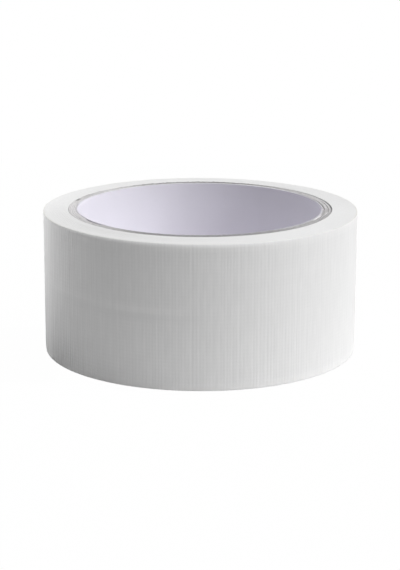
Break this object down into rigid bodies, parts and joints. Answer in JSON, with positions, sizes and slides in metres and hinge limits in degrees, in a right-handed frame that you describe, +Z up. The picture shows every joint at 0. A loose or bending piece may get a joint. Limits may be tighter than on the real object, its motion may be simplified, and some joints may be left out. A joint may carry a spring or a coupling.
{
  "type": "roll of duct tape",
  "caption": "Roll of white cloth-backed duct tape wound on a paperboard core with a white paper liner; the free outer end peels away from the roll.",
  "frame": {"origin": "on the bore's axis at the lower end of the core, where the roll stands", "axes": "+Z up the bore's axis; -Y is the side towards the viewer, and the tape's free end is on the +Y side"},
  "size_m": [0.1001, 0.1002, 0.046],
  "materials": {
    "wound_tape": "cut edges of wound white tape, in fine rings",
    "film": "white polyethylene film with a soft sheen, embossed by the cloth under it",
    "scrim": "open cotton gauze",
    "adhesive": "tacky pale rubber adhesive",
    "liner_paper": "smooth white paper with a faint lavender tint",
    "chipboard": "grey recycled chipboard with fibrous cut ends"
  },
  "bodies": {
    "roll": {"core_liner": "liner_paper", "core_ply_1": "chipboard", "core_ply_2": "chipboard", "core_ply_3": "chipboard", "core_ply_4": "chipboard", "core_ply_5": "chipboard", "tape_winding": "wound_tape", "last_turn_adhesive": "adhesive", "last_turn_scrim": "scrim", "last_turn_film": "film"},
    "free_end": {"end_adhesive": "adhesive", "end_scrim": "scrim", "end_film": "film"}
  },
  "joints": [
    {"name": "end_peel", "type": "hinge", "parent": "roll", "child": "free_end", "pos_m": [-0.00438, 0.05004, 0.023], "axis": [0, 0, -1], "range_deg": [0, 120]}
  ]
}
